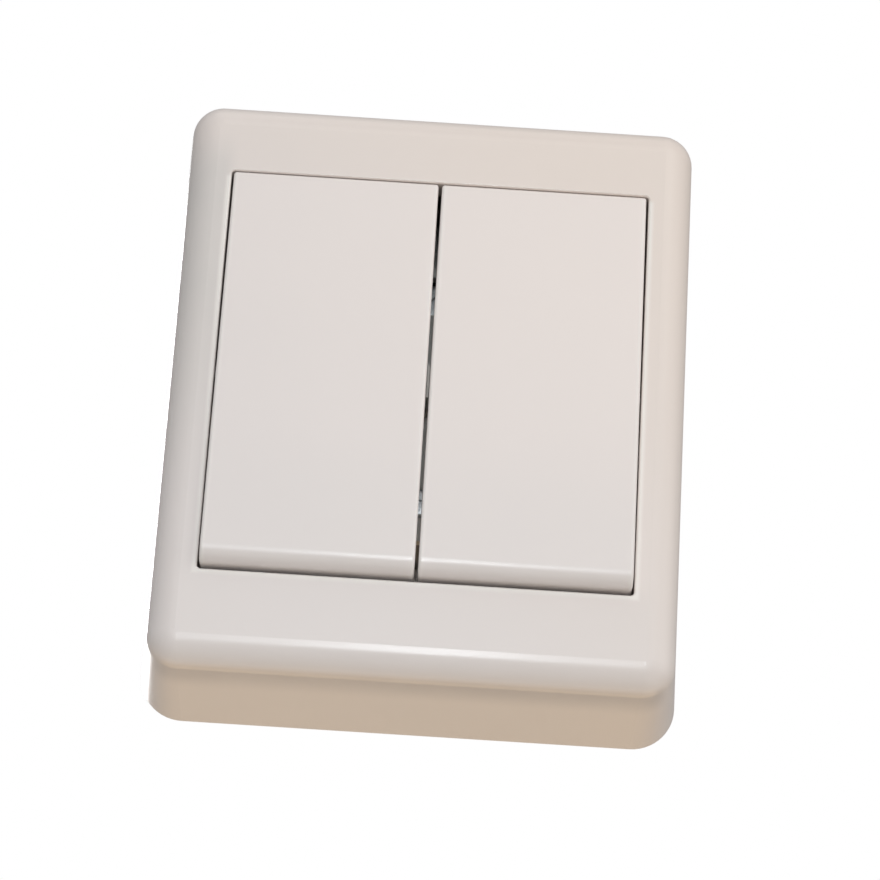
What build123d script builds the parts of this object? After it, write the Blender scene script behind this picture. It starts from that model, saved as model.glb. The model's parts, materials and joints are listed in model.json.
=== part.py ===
"""Two-gang rocker wall switch for surface mounting.

The wall is the plane Y = 0, the front looks along -Y, and Z is up. The origin is the middle
of the back plate's back face. A height, here, is a distance from the wall, in millimetres.
The rockers are modelled as they stand in use: upper ends pressed in, lower ends standing out.
"""

import os
from math import cos, radians, sin, tan

from build123d import *

# Cover
cover_width = 85.0
cover_height = 99.0
cover_depth = 26.5
side_draft = 5.0
cover_wall = 2.0
front_wall = 2.2
cover_corner = 7.0
front_round = 4.6
inner_round = 2.6
rim_lift = 0.4

# Opening for the rockers
opening_width = 67.0
opening_height = 67.5
opening_rise = 1.2
opening_corner = 0.6
opening_edge_round = 0.35
lip_wall = 1.5
lip_depth = 5.0

# Guide pads beside the pivots, which close the gap round the rockers
pad_length = 1.8
pad_clearance = 0.12
pad_sink = 3.2

# Rockers
rock_angle = 2.6
rocker_rise = 1.4
pivot_depth = 6.5
side_gap = 0.35
middle_gap = 0.55
end_gap = 0.4
rocker_plate = 2.0
skirt_wall = 1.5
skirt_depth = 6.0
end_skirt_depth = 8.0
rocker_side_round = 0.45
rocker_upper_round = 0.4
rocker_lower_round = 2.4
rib_wall = 1.2
rib_depth = 1.2
rib_spread = 18.0
rib_start = 13.5

# Clip legs that hold a rocker on its cradle
clip_width = 6.0
clip_wall = 1.2
clip_gap = 0.15
hook_reach = 0.9
hook_height = 0.7

# Cradles, which carry the rockers on two trunnions each
cradle_width = 11.0
cradle_length = 22.0
cradle_plate = 2.2
tube_radius = 3.4
tube_drop = 5.5
bore_roof = 1.2
trunnion_radius = 1.6
trunnion_reach = 7.6
bore_clearance = 0.08
cheek_length = 5.0

# Plungers and springs
plunger_radius = 2.2
plunger_top = 2.8
plunger_neck = 5.9
tip_radius = 1.4
spring_wire = 0.5
spring_radius = 1.55
spring_pitch = 1.0
spring_gap = 0.1

# Contact bridges, which see-saw on two ears of the common strip
tip_clearance = 0.06
bridge_angle = 10.0
bridge_width = 8.0
bridge_length = 21.0
bridge_metal = 0.8
bridge_corner = 1.2
ear_round = 0.5
ear_clearance = 0.05
ear_metal = 0.8
ear_spread = 6.0
ear_foot = 4.0

# Silver contacts
contact_reach = 9.0
moving_radius = 1.5
moving_side = 0.3
moving_dome = 4.0
fixed_radius = 1.8
fixed_metal = 0.5
fixed_round = 0.15
contact_gap = 0.1
rivet_radius = 0.75
rivet_clearance = 0.03
rivet_head_radius = 1.2
rivet_head = 0.3

# Metal strips
strip_metal = 0.8
strip_width = 5.0
strip_rounding = 0.4

# Terminal clamps and their screws
clamp_reach = 18.5
clamp_length = 6.0
clamp_wall = 0.9
clamp_top = 2.1
clamp_chamfer = 0.3
clamp_air = 0.4
wire_room = 2.1
screw_room = 1.5
clamp_screw_radius = 1.7
clamp_head_radius = 2.9
clamp_head = 1.8
clamp_head_lift = 0.6

# Housing of the mechanism
housing_length = 47.0
housing_wall = 1.6
housing_floor = 1.4
housing_corner = 2.0
partition_wall = 1.2
pedestal_width = 4.0
common_bay = 11.0
wire_window = 3.4
stop_clearance = 0.1
stop_width = 2.0
bridge_air = 0.75
part_gap = 0.2

# Lid of the mechanism, with the bearings and the fin between the rockers
lid_plate = 2.0
lid_margin = 0.65
bearing_wall = 1.6
bearing_gap = 0.6
bearing_round = 3.0
bearing_clearance = 0.06
bearing_mouth = 2.6
swing_room = 0.45
driver_hole_radius = 3.3
fin_length = 5.5
fin_foot = 2.4
fin_top_sink = 1.5
fin_sink = 1.2
lid_screw_radius = 1.0
lid_screw_head_radius = 2.2
lid_screw_head = 1.4
lid_screw_depth = 7.0
lid_post_radius = 2.6
lid_post_x = 13.0
lid_post_rise = 17.5

# Screws that hold the housing on the back plate
fixing_x = 30.5
fixing_rise = 14.0
fixing_ear_radius = 3.4
fixing_ear = 2.0
fixing_post = 4.2
fixing_screw_radius = 1.25
fixing_head_radius = 2.8
fixing_head = 2.0
fixing_tip = 0.6

# Back plate
back_plate_floor = 2.2
back_gap = 0.3
back_rim = 1.5
back_rim_height = 10.0
wall_screw_spacing = 60.0
wall_slot_radius = 2.2
wall_slot_length = 8.4
cable_width = 24.0
cable_height = 11.0
cable_drop = 37.2
cable_corner = 3.0
pocket_depth = 0.9
pocket_width = 15.0
pocket_height = 12.5
pocket_corner = 1.5
pocket_columns = [-27.0, -9.0, 9.0, 27.0]
pocket_rows = [-36.0, -20.5, 20.5, 36.0]
catch_width = 9.0
catch_height = 1.4
catch_reach = 0.7
catch_level = 7.5
catch_spread = 44.0
screw_clearance = 0.05
screw_chamfer = 0.3
driver_slot = 0.8
driver_slot_depth = 0.9

# Heights and places worked out from the values above
bore_radius = plunger_radius + bore_clearance
gang_x = (opening_width - 2 * side_gap + middle_gap) / 4
rocker_width = (opening_width - 2 * side_gap - middle_gap) / 2
rocker_length = opening_height - 2 * end_gap
pivot_height = cover_depth + rocker_rise - pivot_depth
rocker_seat = pivot_depth - rocker_plate
cradle_floor = rocker_seat - cradle_plate
bore_top = rocker_seat - bore_roof
bridge_under = ear_round + ear_clearance
bridge_over = bridge_under + bridge_metal
housing_under = back_plate_floor
housing_inside = housing_under + housing_floor
clamp_under = housing_inside + clamp_air
clamp_floor = clamp_under + clamp_wall
strip_under = clamp_floor + wire_room
strip_top = strip_under + strip_metal
clamp_roof = strip_top + screw_room
clamp_over = clamp_roof + clamp_top
# The bridge's axis is as high as its silver dome needs, with the bridge tipped over
fixed_face = strip_top + fixed_metal
dome_under = bridge_under - moving_side
dome_sag = moving_dome - (moving_dome**2 - moving_radius**2) ** 0.5
dome_centre = dome_under - dome_sag + moving_dome
bridge_sine = sin(radians(bridge_angle))
bridge_cosine = cos(radians(bridge_angle))
bridge_axis = (
    fixed_face
    + contact_gap
    + moving_dome
    + contact_reach * bridge_sine
    - dome_centre * bridge_cosine
)
fixed_reach = contact_reach * bridge_cosine + dome_centre * bridge_sine
bridge_end = bridge_length / 2
stop_top = bridge_axis - bridge_end * bridge_sine + bridge_under * bridge_cosine - stop_clearance
bridge_high = bridge_axis + bridge_end * bridge_sine + (bridge_over + rivet_head) * bridge_cosine
tip_reach = pivot_height - bridge_axis - bridge_over - tip_clearance
clamp_head_under = clamp_over + clamp_head_lift
clamp_head_over = clamp_head_under + clamp_head
housing_over = max(bridge_high, clamp_head_over) + part_gap
housing_width = 2 * (gang_x + bridge_width / 2 + bridge_air + housing_wall)
lid_over = housing_over + lid_plate
bearing_near = cradle_width / 2 + bearing_gap
lid_width = 2 * (gang_x + bearing_near + bearing_wall + lid_margin)
clamp_width = strip_width + part_gap + 2 * clamp_wall
strip_end = clamp_reach + clamp_length / 2
fixing_ear_under = back_plate_floor + fixing_post
fixing_ear_over = fixing_ear_under + fixing_ear
fin_shoulder = pivot_height + pivot_depth - skirt_depth - fin_sink
lid_posts = [(-lid_post_x, lid_post_rise), (lid_post_x, lid_post_rise), (0, -lid_post_rise)]
fixing_places = [(x, z) for x in (-fixing_x, fixing_x) for z in (-fixing_rise, fixing_rise)]
gangs = {"left": -gang_x, "right": gang_x}
terminals = {"left": (-gang_x, -1), "right": (gang_x, -1), "common": (0, 1)}


def wall(height):
    """Plane parallel to the wall at that height, with local X along X and local Y along Z."""
    return Plane.XZ.offset(height)


def centred(height):
    """The same plane with its origin level with the rockers' pivots."""
    return Plane(origin=(0, -height, opening_rise), x_dir=(1, 0, 0), z_dir=(0, -1, 0))


def tipped(x, height, angle):
    """Plane through a pivot, turned about X so that its upper side goes in by that angle."""
    turn = radians(angle)
    return Plane(origin=(x, -height, opening_rise), x_dir=(1, 0, 0), z_dir=(0, -cos(turn), sin(turn)))


def upright(x, height):
    """Plane across X through a pivot, with local X along Z and local Y away from the wall."""
    return Plane(origin=(x, -height, opening_rise), x_dir=(0, 0, 1), z_dir=(1, 0, 0))


def save(piece, name):
    """Label a finished piece and write it as one file."""
    piece.part.label = name
    export_step(piece.part, f"parts/{name}.step")


def tapered_block(inset, low, high):
    """Closed block with the cover's drafted sides, moved in by the inset."""
    shrink = tan(radians(side_draft)) * low
    with BuildPart() as block:
        with BuildSketch(wall(low)):
            RectangleRounded(
                cover_width - 2 * (inset + shrink),
                cover_height - 2 * (inset + shrink),
                cover_corner - inset - shrink,
            )
        extrude(amount=high - low, taper=side_draft)
    return block


def make_cover():
    """One moulding: drafted sides, rounded front, and the opening with its inner lip."""
    cavity = tapered_block(cover_wall, 0, cover_depth - front_wall)
    with BuildPart() as hollow:
        add(cavity.part)
        fillet(hollow.faces().sort_by(Axis.Y)[0].edges(), radius=inner_round)
    outside = tapered_block(0, rim_lift, cover_depth)
    with BuildPart() as cover:
        add(outside.part)
        fillet(cover.faces().sort_by(Axis.Y)[0].edges(), radius=front_round)
        add(hollow.part, mode=Mode.SUBTRACT)
        with BuildSketch(centred(cover_depth - lip_depth)):
            RectangleRounded(
                opening_width + 2 * lip_wall,
                opening_height + 2 * lip_wall,
                opening_corner + lip_wall,
            )
        extrude(amount=lip_depth - front_wall)
        with BuildSketch(centred(cover_depth)):
            RectangleRounded(opening_width, opening_height, opening_corner)
        extrude(amount=-lip_depth, mode=Mode.SUBTRACT)
        front = cover.faces().sort_by(Axis.Y)[0]
        fillet(front.inner_wires()[0].edges(), radius=opening_edge_round)
        pad = side_gap - pad_clearance
        with BuildSketch(centred(cover_depth - lip_depth)):
            for side in (-1, 1):
                with Locations((side * (opening_width - pad) / 2, 0)):
                    Rectangle(pad, pad_length)
        extrude(amount=lip_depth - pad_sink)
        for side in (-1, 1):
            for x in (-catch_spread / 2, catch_spread / 2):
                with BuildSketch(wall(catch_level - part_gap)):
                    with Locations((x, side * catch_middle())):
                        Rectangle(catch_width + 2 * part_gap, 2 * (catch_reach + part_gap))
                extrude(amount=catch_height + 2 * part_gap, mode=Mode.SUBTRACT)
    return cover


def catch_middle():
    """Distance from the middle to the outside of the back plate's rim, at the catches."""
    at_catch = tan(radians(side_draft)) * catch_level
    return cover_height / 2 - cover_wall - back_gap - at_catch


def make_back_plate():
    """Floor, rim with four catches, screw posts, wall slots, cable entry and back pockets."""
    inset = cover_wall + back_gap
    body = tapered_block(inset, 0, back_rim_height)
    room = tapered_block(inset + back_rim, back_plate_floor, back_rim_height)
    with BuildPart() as back:
        add(body.part)
        add(room.part, mode=Mode.SUBTRACT)
        for side in (-1, 1):
            for x in (-catch_spread / 2, catch_spread / 2):
                with BuildSketch(wall(catch_level)):
                    with Locations((x, side * (catch_middle() + (catch_reach - back_rim / 2) / 2))):
                        Rectangle(catch_width, catch_reach + back_rim / 2)
                extrude(amount=catch_height)
        with BuildSketch(centred(back_plate_floor)):
            with Locations(*fixing_places):
                Circle(fixing_ear_radius)
        extrude(amount=fixing_post)
        with BuildSketch(centred(fixing_ear_under)):
            with Locations(*fixing_places):
                Circle(fixing_screw_radius + screw_clearance)
        extrude(amount=-fixing_post, mode=Mode.SUBTRACT)
        with BuildSketch(wall(0)):
            with Locations((-wall_screw_spacing / 2, 0), (wall_screw_spacing / 2, 0)):
                SlotOverall(wall_slot_length, 2 * wall_slot_radius)
            with Locations((0, -cable_drop)):
                RectangleRounded(cable_width, cable_height, cable_corner)
        extrude(amount=back_plate_floor, mode=Mode.SUBTRACT)
        with BuildSketch(wall(0)):
            with Locations(*pocket_places()):
                RectangleRounded(pocket_width, pocket_height, pocket_corner)
        extrude(amount=pocket_depth, mode=Mode.SUBTRACT)
    return back


def pocket_places():
    """Middles of the shallow pockets in the back, which leave out the cable entry."""
    every = [(x, z) for x in pocket_columns for z in pocket_rows]
    return [(x, z) for x, z in every if z != pocket_rows[0] or abs(x) > cable_width / 2]


def make_rocker(x):
    """Cap with a skirt, ribs and the two clip legs that hold the cradle."""
    frame = tipped(x, pivot_height, rock_angle)
    section = Plane(origin=frame.origin, x_dir=frame.y_dir, z_dir=frame.x_dir)
    outwards = Axis(frame.origin, frame.z_dir)
    with BuildPart() as rocker:
        with BuildSketch(section) as profile:
            with Locations((0, pivot_depth - skirt_depth / 2)):
                Rectangle(rocker_length, skirt_depth)
            front_corners = profile.vertices().group_by(Axis.Y)[-1].sort_by(Axis.X)
            fillet(front_corners[0], radius=rocker_lower_round)
            upper_corner = profile.vertices().group_by(Axis.Y)[-1].sort_by(Axis.X)[-1]
            fillet(upper_corner, radius=rocker_upper_round)
        extrude(amount=rocker_width / 2, both=True)
        flanks = rocker.faces().filter_by(Axis.X).edges()
        fillet(flanks - flanks.group_by(outwards)[0], radius=rocker_side_round)
        with BuildSketch(frame.offset(rocker_seat)):
            Rectangle(rocker_width - 2 * skirt_wall, rocker_length - 2 * skirt_wall)
        extrude(amount=rocker_plate - skirt_depth, mode=Mode.SUBTRACT)
        with BuildSketch(frame.offset(pivot_depth - skirt_depth)):
            end_middle = (rocker_length - skirt_wall) / 2
            with Locations((0, -end_middle), (0, end_middle)):
                Rectangle(rocker_width - 2 * rocker_side_round, skirt_wall)
        extrude(amount=skirt_depth - end_skirt_depth)
        rib_length = (rocker_length - skirt_wall) / 2 - rib_start
        with BuildSketch(frame.offset(rocker_seat)):
            for end in (-1, 1):
                with Locations(
                    (-rib_spread / 2, end * (rib_start + rib_length / 2)),
                    (rib_spread / 2, end * (rib_start + rib_length / 2)),
                ):
                    Rectangle(rib_wall, rib_length)
        extrude(amount=-rib_depth)
        leg_middle = cradle_length / 2 + clip_gap + clip_wall / 2
        leg_depth = cradle_plate + clip_gap + hook_height
        with BuildSketch(frame.offset(rocker_seat)):
            with Locations((0, -leg_middle), (0, leg_middle)):
                Rectangle(clip_width, clip_wall)
        extrude(amount=-leg_depth)
        with BuildSketch(frame.offset(rocker_seat - leg_depth)):
            hook_middle = cradle_length / 2 + clip_gap - hook_reach / 2
            with Locations((0, -hook_middle), (0, hook_middle)):
                Rectangle(clip_width, hook_reach)
        extrude(amount=hook_height)
    return rocker


def make_cradle(x):
    """Saddle under the rocker, with the spring tube and the trunnions."""
    frame = tipped(x, pivot_height, rock_angle)
    with BuildPart() as cradle:
        with BuildSketch(frame.offset(cradle_floor)):
            Rectangle(cradle_width, cradle_length)
        extrude(amount=cradle_plate)
        with BuildSketch(frame.offset(-trunnion_radius)):
            Rectangle(cradle_width, cheek_length)
        extrude(amount=trunnion_radius + cradle_floor)
        with BuildSketch(frame.offset(-tube_drop)):
            Circle(tube_radius)
        extrude(amount=tube_drop + cradle_floor)
        with BuildSketch(Plane(origin=frame.origin, x_dir=frame.y_dir, z_dir=frame.x_dir)):
            Circle(trunnion_radius)
        extrude(amount=trunnion_reach, both=True)
        with BuildSketch(frame.offset(-tube_drop)):
            Circle(bore_radius)
        extrude(amount=tube_drop + bore_top, mode=Mode.SUBTRACT)
    return cradle


def make_plunger(x):
    """Turned plastic pin: a guided barrel, a neck and a round tip that rides on the bridge."""
    frame = tipped(x, pivot_height, rock_angle)
    section = Plane(origin=frame.origin, x_dir=frame.x_dir, z_dir=-frame.y_dir)
    tip_centre = tip_radius - tip_reach
    with BuildPart() as plunger:
        with BuildSketch(section):
            with BuildLine():
                Line((0, -tip_reach), (0, -plunger_top))
                Line((0, -plunger_top), (plunger_radius, -plunger_top))
                Line((plunger_radius, -plunger_top), (plunger_radius, -plunger_neck))
                Line((plunger_radius, -plunger_neck), (tip_radius, tip_centre))
                RadiusArc((tip_radius, tip_centre), (0, -tip_reach), tip_radius)
            make_face()
        revolve(axis=Axis(frame.origin, frame.z_dir))
    return plunger


def make_spring(x):
    """Open coil between the plunger's top and the roof of the cradle's bore."""
    frame = tipped(x, pivot_height, rock_angle)
    low = -plunger_top + spring_gap + spring_wire / 2
    high = bore_top - spring_gap - spring_wire / 2
    start = frame.offset(low)
    with BuildPart() as spring:
        with BuildLine(start):
            coil = Helix(spring_pitch, high - low, spring_radius, direction=frame.z_dir)
        with BuildSketch(Plane(origin=coil @ 0, z_dir=coil % 0)):
            Circle(spring_wire / 2)
        sweep(path=coil, is_frenet=True)
    return spring


def make_bridge(x):
    """Flat spring-brass see-saw with a hole for the silver rivet at its lower end."""
    frame = tipped(x, bridge_axis, -bridge_angle)
    with BuildPart() as bridge:
        with BuildSketch(frame.offset(bridge_under)):
            RectangleRounded(bridge_width, bridge_length, bridge_corner)
            with Locations((0, -contact_reach)):
                Circle(rivet_radius + rivet_clearance, mode=Mode.SUBTRACT)
        extrude(amount=bridge_metal)
    return bridge


def make_moving_contact(x):
    """Silver rivet of the bridge, domed where it meets the fixed contact."""
    frame = tipped(x, bridge_axis, -bridge_angle)
    foot = frame.origin - frame.y_dir * contact_reach
    section = Plane(origin=foot, x_dir=frame.x_dir, z_dir=-frame.y_dir)
    dome_low_point = dome_under - dome_sag
    with BuildPart() as contact:
        with BuildSketch(section):
            with BuildLine():
                Line((0, dome_low_point), (0, bridge_over + rivet_head))
                Polyline(
                    (0, bridge_over + rivet_head),
                    (rivet_head_radius, bridge_over + rivet_head),
                    (rivet_head_radius, bridge_over),
                    (rivet_radius, bridge_over),
                    (rivet_radius, bridge_under),
                    (moving_radius, bridge_under),
                    (moving_radius, dome_under),
                )
                RadiusArc((moving_radius, dome_under), (0, dome_low_point), moving_dome)
            make_face()
        revolve(axis=Axis(foot, frame.z_dir))
    return contact


def make_fixed_contact(x):
    """Flat silver rivet on the end of the outgoing strip."""
    place = (x, -fixed_reach)
    with BuildPart() as contact:
        with BuildSketch(centred(strip_top)):
            with Locations(place):
                Circle(fixed_radius)
        extrude(amount=fixed_metal)
        fillet(contact.faces().sort_by(Axis.Y)[0].edges(), radius=fixed_round)
        with BuildSketch(centred(strip_under)):
            with Locations(place):
                Circle(rivet_radius)
        extrude(amount=strip_metal)
    return contact


def make_common_strip():
    """T-shaped brass strip with two pairs of ears, on which the bridges see-saw."""
    bar = 2 * (gang_x + ear_spread / 2 + ear_metal)
    with BuildPart() as strip:
        with BuildSketch(centred(strip_under)):
            Rectangle(bar, strip_width)
            with Locations((0, strip_end / 2)):
                Rectangle(strip_width, strip_end)
        extrude(amount=strip_metal)
        for x in gangs.values():
            for side in (-1, 1):
                middle = x + side * (ear_spread - ear_metal) / 2
                with BuildSketch(upright(middle, bridge_axis)):
                    drop = bridge_axis - strip_top
                    with BuildLine():
                        Line((-ear_round, 0), (-ear_foot / 2, -drop))
                        Line((-ear_foot / 2, -drop), (ear_foot / 2, -drop))
                        Line((ear_foot / 2, -drop), (ear_round, 0))
                        ThreePointArc((ear_round, 0), (0, ear_round), (-ear_round, 0))
                    make_face()
                extrude(amount=ear_metal / 2, both=True)
    return strip


def make_outgoing_strip(x):
    """Brass strip from under the fixed contact to the clamp at the housing's lower side."""
    start = fixed_reach - fixed_radius - strip_rounding
    with BuildPart() as strip:
        with BuildSketch(centred(strip_under)):
            with Locations((x, -(start + strip_end) / 2)):
                RectangleRounded(strip_width, strip_end - start, strip_rounding)
            with Locations((x, -fixed_reach)):
                Circle(rivet_radius + rivet_clearance, mode=Mode.SUBTRACT)
        extrude(amount=strip_metal)
    return strip


def make_clamp(x, side):
    """Brass cage round the strip's end. Its screw pulls it up, and the wire with it."""
    place = (x, side * clamp_reach)
    with BuildPart() as clamp:
        with BuildSketch(centred(clamp_under)):
            with Locations(place):
                Rectangle(clamp_width, clamp_length)
        extrude(amount=clamp_over - clamp_under)
        chamfer(clamp.edges().filter_by(Axis.Y), length=clamp_chamfer)
        with BuildSketch(centred(clamp_floor)):
            with Locations(place):
                Rectangle(clamp_width - 2 * clamp_wall, clamp_length)
        extrude(amount=clamp_roof - clamp_floor, mode=Mode.SUBTRACT)
        with BuildSketch(centred(clamp_over)):
            with Locations(place):
                Circle(clamp_screw_radius + screw_clearance)
        extrude(amount=-clamp_top, mode=Mode.SUBTRACT)
    return clamp


def make_screws(places, tip, seat, radius, head_radius, head):
    """Cheese-head screws at those places, from the tip's height to the head's top."""
    with BuildPart() as screws:
        with BuildSketch(centred(tip)):
            with Locations(*places):
                Circle(radius)
        extrude(amount=seat - tip)
        chamfer(screws.faces().group_by(Axis.Y)[-1].edges(), length=screw_chamfer)
        with BuildSketch(centred(seat)):
            with Locations(*places):
                Circle(head_radius)
        extrude(amount=head)
        with BuildSketch(centred(seat + head)):
            with Locations(*places):
                Rectangle(2 * head_radius, driver_slot)
        extrude(amount=-driver_slot_depth, mode=Mode.SUBTRACT)
    return screws


def make_housing():
    """Tub of the mechanism: bays for the terminals, pedestals, stops, posts and four ears."""
    height = housing_over - housing_under
    inner_width = housing_width - 2 * housing_wall
    inner_length = housing_length - 2 * housing_wall
    pedestal = strip_under - housing_inside
    bay_end = inner_length / 2
    with BuildPart() as housing:
        with BuildSketch(centred(housing_under)):
            RectangleRounded(housing_width, housing_length, housing_corner)
        extrude(amount=height)
        with BuildSketch(centred(housing_inside)):
            Rectangle(inner_width, inner_length)
        extrude(amount=height - housing_floor, mode=Mode.SUBTRACT)
        # pedestals under the strips, each clear of the clamps
        clamp_start = clamp_reach - clamp_length / 2 - part_gap
        with BuildSketch(centred(housing_inside)):
            Rectangle(2 * gang_x + ear_spread, pedestal_width)
            with Locations((0, clamp_start / 2)):
                Rectangle(pedestal_width, clamp_start)
            for x in gangs.values():
                start = fixed_reach - fixed_radius
                with Locations((x, -(start + clamp_start) / 2)):
                    Rectangle(pedestal_width, clamp_start - start)
        extrude(amount=pedestal)
        with BuildSketch(centred(housing_inside)):
            for x in gangs.values():
                with Locations((x, bridge_end * bridge_cosine - stop_width / 2)):
                    Rectangle(bridge_width, stop_width)
        extrude(amount=stop_top - housing_inside)
        # partitions between the gangs below, and beside the common terminal above
        rise = strip_width / 2 + part_gap
        with BuildSketch(centred(housing_inside)):
            with Locations((0, -(rise + bay_end) / 2)):
                Rectangle(partition_wall, bay_end - rise)
            for side in (-1, 1):
                with Locations((side * common_bay / 2, (rise + bay_end) / 2)):
                    Rectangle(partition_wall, bay_end - rise)
            with Locations(*lid_posts):
                Circle(lid_post_radius)
        extrude(amount=housing_over - housing_inside)
        with BuildSketch(centred(housing_over)):
            with Locations(*lid_posts):
                Circle(lid_screw_radius + screw_clearance)
        extrude(amount=-lid_screw_depth - part_gap, mode=Mode.SUBTRACT)
        # ears for the screws into the back plate
        ear_reach = fixing_x - housing_width / 2
        with BuildSketch(centred(fixing_ear_under)):
            for x, z in fixing_places:
                with Locations((x, z)):
                    Circle(fixing_ear_radius)
                with Locations((x - ear_reach / 2 * (1 if x > 0 else -1), z)):
                    Rectangle(ear_reach, 2 * fixing_ear_radius)
        extrude(amount=fixing_ear)
        with BuildSketch(centred(fixing_ear_under)):
            with Locations(*fixing_places):
                Circle(fixing_screw_radius + 2 * screw_clearance)
        extrude(amount=fixing_ear, mode=Mode.SUBTRACT)
        # square windows for the wires
        for x, side in terminals.values():
            with BuildSketch(centred(clamp_floor)):
                with Locations((x, side * (housing_length - housing_wall) / 2)):
                    Rectangle(wire_window, housing_wall)
            extrude(amount=wire_window, mode=Mode.SUBTRACT)
    return housing


def make_bearing_lid():
    """Lid over the mechanism, with four bearings for the trunnions and the screw holes."""
    with BuildPart() as lid:
        with BuildSketch(centred(housing_over)):
            RectangleRounded(lid_width, housing_length, housing_corner)
        extrude(amount=lid_plate)
        with BuildSketch(centred(lid_over)):
            Rectangle(fin_foot, fin_length)
        extrude(amount=fin_shoulder - lid_over)
        with BuildSketch(centred(fin_shoulder)):
            Rectangle(middle_gap - 2 * pad_clearance, fin_length)
        extrude(amount=cover_depth - fin_top_sink - fin_shoulder)
        for x in gangs.values():
            for side in (-1, 1):
                middle = x + side * (bearing_near + bearing_wall / 2)
                with BuildSketch(upright(middle, pivot_height)):
                    Circle(bearing_round)
                    with Locations((0, -(pivot_height - lid_over) / 2)):
                        Rectangle(2 * bearing_round, pivot_height - lid_over)
                    Circle(trunnion_radius + bearing_clearance, mode=Mode.SUBTRACT)
                    with Locations((0, bearing_round / 2)):
                        Rectangle(bearing_mouth, bearing_round, mode=Mode.SUBTRACT)
                extrude(amount=bearing_wall / 2, both=True)
        window = 2 * (tube_radius + swing_room)
        with BuildSketch(centred(housing_over)):
            with Locations(*[(x, 0) for x in gangs.values()]):
                Rectangle(window, window + 2 * tube_drop * sin(radians(rock_angle)))
            with Locations(*[(x, side * clamp_reach) for x, side in terminals.values()]):
                Circle(driver_hole_radius)
            with Locations(*lid_posts):
                Circle(lid_screw_radius + 2 * screw_clearance)
        extrude(amount=lid_plate, mode=Mode.SUBTRACT)
    return lid


os.makedirs("parts", exist_ok=True)

save(make_cover(), "cover_frame")
save(make_back_plate(), "back_plate")
save(make_housing(), "mechanism_housing")
save(make_bearing_lid(), "bearing_lid")
save(make_common_strip(), "common_strip")

for gang, gang_place in gangs.items():
    save(make_rocker(gang_place), f"{gang}_rocker")
    save(make_cradle(gang_place), f"{gang}_cradle")
    save(make_plunger(gang_place), f"{gang}_plunger")
    save(make_spring(gang_place), f"{gang}_spring")
    save(make_bridge(gang_place), f"{gang}_contact_bridge")
    save(make_moving_contact(gang_place), f"{gang}_moving_contact")
    save(make_fixed_contact(gang_place), f"{gang}_fixed_contact")
    save(make_outgoing_strip(gang_place), f"{gang}_outgoing_strip")

for terminal, (x_place, side_of) in terminals.items():
    save(make_clamp(x_place, side_of), f"{terminal}_clamp")
    clamp_screw = make_screws(
        [(x_place, side_of * clamp_reach)],
        strip_top + screw_clearance,
        clamp_head_under,
        clamp_screw_radius,
        clamp_head_radius,
        clamp_head,
    )
    save(clamp_screw, f"{terminal}_clamp_screw")

lid_screws = make_screws(
    lid_posts,
    housing_over - lid_screw_depth,
    lid_over,
    lid_screw_radius,
    lid_screw_head_radius,
    lid_screw_head,
)
save(lid_screws, "lid_screws")

housing_screws = make_screws(
    fixing_places,
    back_plate_floor + fixing_tip,
    fixing_ear_over,
    fixing_screw_radius,
    fixing_head_radius,
    fixing_head,
)
save(housing_screws, "housing_screws")
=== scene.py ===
# %% [markdown]
# # A two-gang rocker wall switch
#
# The switch was drawn in CAD and packed as a fixed frame: its pieces, its moving bodies and its
# joints. This lesson gives that frame its looks. Everything is in metres, the wall is the plane
# y = 0, the front of the switch looks along -y, and z is up.

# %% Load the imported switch
import json
import math

import bpy
from mathutils import Matrix, Vector


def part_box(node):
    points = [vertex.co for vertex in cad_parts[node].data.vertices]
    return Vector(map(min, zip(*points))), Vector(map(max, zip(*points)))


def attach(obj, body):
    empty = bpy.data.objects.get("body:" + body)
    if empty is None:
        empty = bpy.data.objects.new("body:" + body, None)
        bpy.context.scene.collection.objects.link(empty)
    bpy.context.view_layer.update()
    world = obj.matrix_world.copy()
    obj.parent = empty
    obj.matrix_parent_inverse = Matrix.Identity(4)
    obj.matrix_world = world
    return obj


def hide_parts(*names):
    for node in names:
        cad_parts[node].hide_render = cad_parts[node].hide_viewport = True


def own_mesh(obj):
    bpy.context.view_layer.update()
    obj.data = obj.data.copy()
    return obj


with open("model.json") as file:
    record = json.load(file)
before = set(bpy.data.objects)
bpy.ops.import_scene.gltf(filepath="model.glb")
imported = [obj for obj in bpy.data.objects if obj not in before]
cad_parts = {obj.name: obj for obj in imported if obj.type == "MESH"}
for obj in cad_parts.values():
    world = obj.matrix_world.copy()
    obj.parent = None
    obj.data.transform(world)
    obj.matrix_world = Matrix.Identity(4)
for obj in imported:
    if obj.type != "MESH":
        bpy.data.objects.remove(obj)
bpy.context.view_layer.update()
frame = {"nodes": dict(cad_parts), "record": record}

switch = frame["nodes"]

# %% [markdown]
# ## Where the switch is seen from
#
# The photograph was taken from below, slightly turned on its side, with a long lens. A camera
# could be placed by eye, or aimed with a Track To constraint. Here it gets a point to look at, a
# direction and a distance, and is then rolled about its own line of sight, because these are
# the four things that a photographer would have changed.

# %% Camera
aim = Vector((0.002423, -0.0265, -0.009159))
towards_camera = Vector((-0.006028, -0.932229, -0.361819))
camera_distance = 0.499867
camera_roll = math.radians(3.5217)
camera_lens = 131.58

camera_data = bpy.data.cameras.new("photo_camera")
camera_data.lens = camera_lens
camera_data.sensor_width = 36
camera = bpy.data.objects.new("photo_camera", camera_data)
turn = towards_camera.to_track_quat("Z", "Y") @ Matrix.Rotation(camera_roll, 3, "Z").to_quaternion()
camera.matrix_world = Matrix.LocRotScale(aim + towards_camera * camera_distance, turn, None)
bpy.context.scene.collection.objects.link(camera)
bpy.context.scene.camera = camera
print("camera at", [round(v, 4) for v in camera.matrix_world.translation])

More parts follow.
